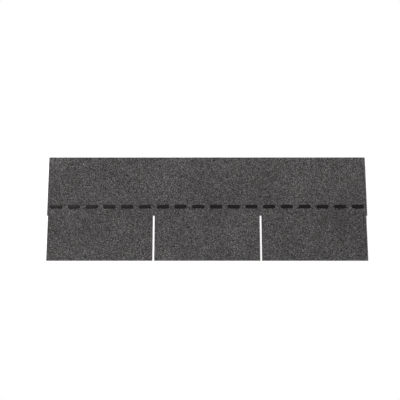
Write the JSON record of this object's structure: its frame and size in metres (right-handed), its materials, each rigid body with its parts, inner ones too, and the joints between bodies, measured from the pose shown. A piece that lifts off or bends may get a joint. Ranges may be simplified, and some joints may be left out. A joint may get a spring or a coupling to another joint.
{
  "type": "three-tab asphalt strip shingle",
  "caption": "Flat roofing strip of granule-surfaced asphalt sheet, with square tabs parted by slots, self-seal dashes above them and a release film on its back.",
  "frame": {"origin": "middle of the back face, which lies on the floor", "axes": "+X along the length of the strip, +Y from the butt edge of the tabs up to the top edge, +Z out of the granule face"},
  "size_m": [1, 0.336, 0.0039],
  "materials": {
    "granule_surfaced_asphalt": "matte",
    "bitumen_sealant": "gloss",
    "release_film": "satin"
  },
  "bodies": {
    "root": {"shingle": "granule_surfaced_asphalt", "sealant_dashes": "bitumen_sealant", "release_tape": "release_film"}
  },
  "joints": []
}
